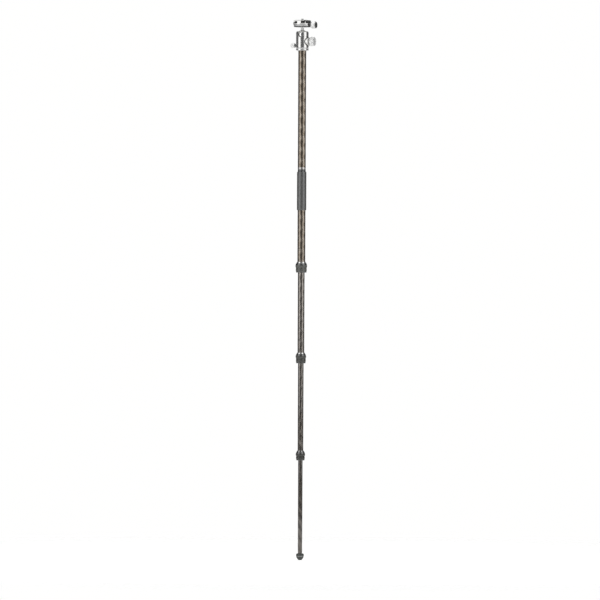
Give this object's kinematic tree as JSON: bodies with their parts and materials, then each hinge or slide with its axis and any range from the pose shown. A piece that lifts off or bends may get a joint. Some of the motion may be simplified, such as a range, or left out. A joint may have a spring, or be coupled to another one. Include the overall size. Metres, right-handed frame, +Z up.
{
  "type": "camera monopod with ball head",
  "caption": "Telescoping carbon monopod with twist locks, foam grip, screwed-on column and a silver ball head with a screw clamp and dovetail plate.",
  "frame": {"origin": "the foot's tip, on the pole's axis, with the leg at its full length", "axes": "+Z up the pole, +X along the head's ball-lock and clamp knobs, -Y out of the drop notch"},
  "size_m": [0.0741, 0.0512, 1.4889],
  "materials": {
    "carbon": "glossy woven carbon fibre",
    "satin_silver": "satin anodised",
    "dark_metal": "black anodised",
    "polished_ball": "polished",
    "steel": "turned",
    "lock_rubber": "matt",
    "foam": "closed-cell foam",
    "foot_rubber": "matt",
    "nylon": "bearing plastic",
    "black_nylon": "bearing plastic"
  },
  "bodies": {
    "pole": {"leg_tube_1": "carbon", "lock_1_fitting": "dark_metal", "lock_1_collet": "black_nylon", "foam_grip": "foam", "leg_top_bush": "dark_metal", "joint_washer": "lock_rubber", "column_end_bush": "satin_silver", "column_tube": "carbon", "column_plate": "satin_silver", "head_stud": "steel", "pan_base": "satin_silver", "pan_washer": "nylon", "retaining_clip": "steel"},
    "collar_1": {"lock_1_collar": "dark_metal", "lock_1_rubber": "lock_rubber"},
    "section_2": {"leg_tube_2": "carbon", "tube_2_guides": "black_nylon", "lock_2_fitting": "dark_metal", "lock_2_collet": "black_nylon"},
    "collar_2": {"lock_2_collar": "dark_metal", "lock_2_rubber": "lock_rubber"},
    "section_3": {"leg_tube_3": "carbon", "tube_3_guides": "black_nylon", "lock_3_fitting": "dark_metal", "lock_3_collet": "black_nylon"},
    "collar_3": {"lock_3_collar": "dark_metal", "lock_3_rubber": "lock_rubber"},
    "section_4": {"leg_tube_4": "carbon", "tube_4_guides": "black_nylon", "foot_plug": "steel", "foot_rubber": "foot_rubber"},
    "housing": {"ball_housing": "satin_silver", "housing_floor": "satin_silver", "upper_seat": "nylon"},
    "pan_pin": {"pan_brake_pin": "nylon"},
    "pan_lock": {"pan_lock_screw": "dark_metal", "pan_lock_knob": "satin_silver"},
    "plunger": {"lock_plunger": "steel"},
    "ball_lock": {"ball_lock_screw": "steel", "ball_lock_knob": "satin_silver"},
    "cup": {"pressure_cup": "nylon"},
    "ball": {"ball_and_stem": "polished_ball"},
    "clamp": {"clamp_block": "satin_silver", "jaw_guide_pins": "steel", "clamp_bolt": "steel"},
    "jaw": {"clamp_jaw": "satin_silver", "knob_washer": "steel", "jaw_springs": "steel"},
    "clamp_screw": {"clamp_screw": "steel", "clamp_knob": "satin_silver", "clamp_knob_cap": "dark_metal"},
    "plate": {"qr_plate": "satin_silver", "plate_pad": "lock_rubber"},
    "camera_screw": {"camera_screw": "steel"}
  },
  "joints": [
    {"name": "lock_1_twist", "type": "hinge", "parent": "pole", "child": "collar_1", "pos_m": [0, 0, 0.7904], "axis": [0, 0, -1], "range_deg": [0, 150]},
    {"name": "section_2_slide", "type": "slide", "parent": "pole", "child": "section_2", "axis": [0, 0, 1], "range_m": [0, 0.219]},
    {"name": "lock_2_twist", "type": "hinge", "parent": "section_2", "child": "collar_2", "pos_m": [0, 0, 0.541], "axis": [0, 0, -1], "range_deg": [0, 150]},
    {"name": "section_3_slide", "type": "slide", "parent": "section_2", "child": "section_3", "axis": [0, 0, 1], "range_m": [0, 0.239]},
    {"name": "lock_3_twist", "type": "hinge", "parent": "section_3", "child": "collar_3", "pos_m": [0, 0, 0.274], "axis": [0, 0, -1], "range_deg": [0, 150]},
    {"name": "section_4_slide", "type": "slide", "parent": "section_3", "child": "section_4", "axis": [0, 0, 1], "range_m": [0, 0.255]},
    {"name": "pan", "type": "hinge", "parent": "pole", "child": "housing", "pos_m": [0, 0, 1.4082], "axis": [0, 0, 1], "continuous": true},
    {"name": "ball_tilt", "type": "hinge", "parent": "housing", "child": "ball", "pos_m": [0, 0, 1.444], "axis": [1, 0, 0], "range_deg": [-27, 90]},
    {"name": "ball_spin", "type": "hinge", "parent": "ball", "child": "clamp", "pos_m": [0, 0, 1.4655], "axis": [0, 0, 1], "continuous": true},
    {"name": "plunger_slide", "type": "slide", "parent": "housing", "child": "plunger", "axis": [1, 0, 0], "range_m": [0, 0.00125]},
    {"name": "ball_lock_turn", "type": "hinge", "parent": "plunger", "child": "ball_lock", "pos_m": [0, 0, 1.4255], "axis": [1, 0, 0], "range_deg": [0, 361]},
    {"name": "cup_drop", "type": "slide", "parent": "housing", "child": "cup", "axis": [0, 0, -1], "range_m": [0, 0.0003118]},
    {"name": "pan_pin_slide", "type": "slide", "parent": "housing", "child": "pan_pin", "axis": [-1, 0, 0], "range_m": [0, 0.0005]},
    {"name": "pan_lock_turn", "type": "hinge", "parent": "pan_pin", "child": "pan_lock", "pos_m": [0, 0, 1.4149], "axis": [-1, 0, 0], "range_deg": [0, 181]},
    {"name": "jaw_slide", "type": "slide", "parent": "clamp", "child": "jaw", "axis": [1, 0, 0], "range_m": [0, 0.0032]},
    {"name": "clamp_knob_turn", "type": "hinge", "parent": "jaw", "child": "clamp_screw", "pos_m": [0, 0, 1.4709], "axis": [1, 0, 0], "range_deg": [0, 1153]},
    {"name": "plate_slide", "type": "slide", "parent": "clamp", "child": "plate", "axis": [0, 1, 0], "range_m": [-0.012, 0.012]},
    {"name": "camera_screw_spin", "type": "hinge", "parent": "plate", "child": "camera_screw", "pos_m": [0, 0, 1.4745], "axis": [0, 0, 1], "continuous": true}
  ],
  "couplings": [
    {"joint": "ball_lock_turn", "follows": "plunger_slide", "rad_per_m": 5026.5},
    {"joint": "cup_drop", "follows": "plunger_slide", "ratio": 0.24933},
    {"joint": "pan_lock_turn", "follows": "pan_pin_slide", "rad_per_m": 6283.2},
    {"joint": "clamp_knob_turn", "follows": "jaw_slide", "rad_per_m": 6283.2}
  ]
}
